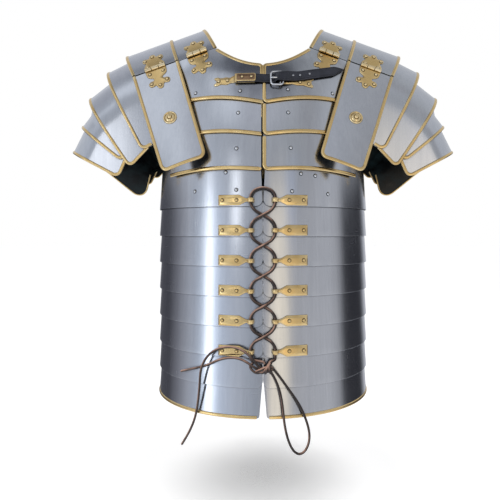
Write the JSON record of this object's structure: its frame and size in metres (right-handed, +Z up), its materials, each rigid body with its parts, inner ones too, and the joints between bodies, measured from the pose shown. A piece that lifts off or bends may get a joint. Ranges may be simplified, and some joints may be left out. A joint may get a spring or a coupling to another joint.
{
  "type": "segmented plate cuirass",
  "caption": "Body armour of overlapping steel hoops and shoulder plates with brass hinges, laced up the front and buckled at the neck.",
  "frame": {"origin": "midway between the wearer's shoulders, level with the tops of the shoulders that carry the collar plates", "axes": "+Z up, the front faces -Y, +X is the wearer's left"},
  "size_m": [0.5438, 0.302, 0.5639],
  "materials": {
    "steel": "polished steel plate with fine brushing and light scratches",
    "brass": "polished brass fittings",
    "black_leather": "smooth black leather",
    "brown_leather": "dark reddish brown leather thong"
  },
  "bodies": {
    "shoulder_yoke": {"collar_plate_left": "steel", "guard_top_left": "steel", "back_plate_1_left": "steel", "back_plate_2_left": "steel", "back_plate_3_left": "steel", "girdle_band_1_left": "steel", "girdle_leather_left": "black_leather", "lame_leather_left": "black_leather", "collar_plate_right": "steel", "guard_top_right": "steel", "back_plate_1_right": "steel", "back_plate_2_right": "steel", "back_plate_3_right": "steel", "girdle_band_1_right": "steel", "girdle_leather_right": "black_leather", "lame_leather_right": "black_leather", "back_strap": "black_leather", "front_lacing": "brown_leather", "back_lacing": "brown_leather"},
    "chest_left": {"chest_plate_1_left": "steel", "chest_plate_2_left": "steel", "chest_plate_3_left": "steel", "buckle_frame": "steel", "buckle_plate": "brass", "strap_tail": "black_leather"},
    "chest_right": {"chest_plate_1_right": "steel", "chest_plate_2_right": "steel", "chest_plate_3_right": "steel", "strap_clasp": "brass", "closure_strap": "black_leather"},
    "buckle_tongue": {"buckle_tongue": "steel"},
    "guard_front_left": {"guard_front_left": "steel"},
    "guard_rear_left": {"guard_rear_left": "steel"},
    "arm_lame_1_left": {"arm_lame_1_left": "steel"},
    "arm_lame_2_left": {"arm_lame_2_left": "steel"},
    "arm_lame_3_left": {"arm_lame_3_left": "steel"},
    "arm_lame_4_left": {"arm_lame_4_left": "steel"},
    "guard_front_right": {"guard_front_right": "steel"},
    "guard_rear_right": {"guard_rear_right": "steel"},
    "arm_lame_1_right": {"arm_lame_1_right": "steel"},
    "arm_lame_2_right": {"arm_lame_2_right": "steel"},
    "arm_lame_3_right": {"arm_lame_3_right": "steel"},
    "arm_lame_4_right": {"arm_lame_4_right": "steel"},
    "girdle_hoop_2": {"girdle_band_2_left": "steel", "girdle_band_2_right": "steel"},
    "girdle_hoop_3": {"girdle_band_3_left": "steel", "girdle_band_3_right": "steel"},
    "girdle_hoop_4": {"girdle_band_4_left": "steel", "girdle_band_4_right": "steel"},
    "girdle_hoop_5": {"girdle_band_5_left": "steel", "girdle_band_5_right": "steel"},
    "girdle_hoop_6": {"girdle_band_6_left": "steel", "girdle_band_6_right": "steel", "lace_bow": "brown_leather", "lace_long_end": "brown_leather", "lace_short_end": "brown_leather"},
    "girdle_hoop_7": {"girdle_band_7_left": "steel", "girdle_band_7_right": "steel"},
    "girdle_hoop_8": {"girdle_band_8_left": "steel", "girdle_band_8_right": "steel"}
  },
  "joints": [
    {"name": "chest_swing_right", "type": "hinge", "parent": "shoulder_yoke", "child": "chest_right", "pos_m": [-0.11297, -0.08699, -0.05509], "axis": [-0.9397, 0, -0.342], "range_deg": [0, 12], "deforming": ["closure_strap"]},
    {"name": "chest_swing_left", "type": "hinge", "parent": "shoulder_yoke", "child": "chest_left", "pos_m": [0.11297, -0.08699, -0.05509], "axis": [-0.9397, 0, 0.342], "range_deg": [0, 12], "deforming": ["strap_tail"]},
    {"name": "guard_front_lift_left", "type": "hinge", "parent": "chest_left", "child": "guard_front_left", "pos_m": [0.11297, -0.08699, -0.05509], "axis": [-0.9397, 0, 0.342], "range_deg": [0, 95]},
    {"name": "guard_rear_lift_left", "type": "hinge", "parent": "shoulder_yoke", "child": "guard_rear_left", "pos_m": [0.11297, 0.08699, -0.05509], "axis": [0.9397, 0, -0.342], "range_deg": [0, 95]},
    {"name": "guard_front_lift_right", "type": "hinge", "parent": "chest_right", "child": "guard_front_right", "pos_m": [-0.11297, -0.08699, -0.05509], "axis": [-0.9397, 0, -0.342], "range_deg": [0, 95]},
    {"name": "guard_rear_lift_right", "type": "hinge", "parent": "shoulder_yoke", "child": "guard_rear_right", "pos_m": [-0.11297, 0.08699, -0.05509], "axis": [0.9397, 0, 0.342], "range_deg": [0, 95]},
    {"name": "buckle_tongue_lift", "type": "hinge", "parent": "chest_left", "child": "buckle_tongue", "pos_m": [0.0214, -0.1236, -0.0905], "axis": [0, 0, 1], "range_deg": [0, 60]},
    {"name": "arm_lame_1_lift_left", "type": "hinge", "parent": "shoulder_yoke", "child": "arm_lame_1_left", "pos_m": [0.12, 0, -0.225], "axis": [0, -1, 0], "range_deg": [0, 8], "deforming": ["lame_leather_left"]},
    {"name": "arm_lame_2_lift_left", "type": "hinge", "parent": "arm_lame_1_left", "child": "arm_lame_2_left", "pos_m": [0.12, 0, -0.225], "axis": [0, -1, 0], "range_deg": [0, 8]},
    {"name": "arm_lame_3_lift_left", "type": "hinge", "parent": "arm_lame_2_left", "child": "arm_lame_3_left", "pos_m": [0.12, 0, -0.225], "axis": [0, -1, 0], "range_deg": [0, 8]},
    {"name": "arm_lame_4_lift_left", "type": "hinge", "parent": "arm_lame_3_left", "child": "arm_lame_4_left", "pos_m": [0.12, 0, -0.225], "axis": [0, -1, 0], "range_deg": [0, 8]},
    {"name": "arm_lame_1_lift_right", "type": "hinge", "parent": "shoulder_yoke", "child": "arm_lame_1_right", "pos_m": [-0.12, 0, -0.225], "axis": [0, 1, 0], "range_deg": [0, 8], "deforming": ["lame_leather_right"]},
    {"name": "arm_lame_2_lift_right", "type": "hinge", "parent": "arm_lame_1_right", "child": "arm_lame_2_right", "pos_m": [-0.12, 0, -0.225], "axis": [0, 1, 0], "range_deg": [0, 8]},
    {"name": "arm_lame_3_lift_right", "type": "hinge", "parent": "arm_lame_2_right", "child": "arm_lame_3_right", "pos_m": [-0.12, 0, -0.225], "axis": [0, 1, 0], "range_deg": [0, 8]},
    {"name": "arm_lame_4_lift_right", "type": "hinge", "parent": "arm_lame_3_right", "child": "arm_lame_4_right", "pos_m": [-0.12, 0, -0.225], "axis": [0, 1, 0], "range_deg": [0, 8]},
    {"name": "girdle_hoop_2_rise", "type": "slide", "parent": "shoulder_yoke", "child": "girdle_hoop_2", "axis": [0, 0, 1], "range_m": [0, 0.014], "deforming": ["front_lacing", "back_lacing", "girdle_leather_left", "girdle_leather_right"]},
    {"name": "girdle_hoop_3_rise", "type": "slide", "parent": "girdle_hoop_2", "child": "girdle_hoop_3", "axis": [0, 0, 1], "range_m": [0, 0.014]},
    {"name": "girdle_hoop_4_rise", "type": "slide", "parent": "girdle_hoop_3", "child": "girdle_hoop_4", "axis": [0, 0, 1], "range_m": [0, 0.014]},
    {"name": "girdle_hoop_5_rise", "type": "slide", "parent": "girdle_hoop_4", "child": "girdle_hoop_5", "axis": [0, 0, 1], "range_m": [0, 0.014]},
    {"name": "girdle_hoop_6_rise", "type": "slide", "parent": "girdle_hoop_5", "child": "girdle_hoop_6", "axis": [0, 0, 1], "range_m": [0, 0.014]},
    {"name": "girdle_hoop_7_rise", "type": "slide", "parent": "girdle_hoop_6", "child": "girdle_hoop_7", "axis": [0, 0, 1], "range_m": [0, 0.014]},
    {"name": "girdle_hoop_8_rise", "type": "slide", "parent": "girdle_hoop_7", "child": "girdle_hoop_8", "axis": [0, 0, 1], "range_m": [0, 0.014]}
  ],
  "couplings": [
    {"joint": "chest_swing_left", "follows": "chest_swing_right", "ratio": 1},
    {"joint": "arm_lame_2_lift_left", "follows": "arm_lame_1_lift_left", "ratio": 1},
    {"joint": "arm_lame_3_lift_left", "follows": "arm_lame_1_lift_left", "ratio": 1},
    {"joint": "arm_lame_4_lift_left", "follows": "arm_lame_1_lift_left", "ratio": 1},
    {"joint": "arm_lame_2_lift_right", "follows": "arm_lame_1_lift_right", "ratio": 1},
    {"joint": "arm_lame_3_lift_right", "follows": "arm_lame_1_lift_right", "ratio": 1},
    {"joint": "arm_lame_4_lift_right", "follows": "arm_lame_1_lift_right", "ratio": 1},
    {"joint": "girdle_hoop_3_rise", "follows": "girdle_hoop_2_rise", "ratio": 1},
    {"joint": "girdle_hoop_4_rise", "follows": "girdle_hoop_2_rise", "ratio": 1},
    {"joint": "girdle_hoop_5_rise", "follows": "girdle_hoop_2_rise", "ratio": 1},
    {"joint": "girdle_hoop_6_rise", "follows": "girdle_hoop_2_rise", "ratio": 1},
    {"joint": "girdle_hoop_7_rise", "follows": "girdle_hoop_2_rise", "ratio": 1},
    {"joint": "girdle_hoop_8_rise", "follows": "girdle_hoop_2_rise", "ratio": 1}
  ]
}
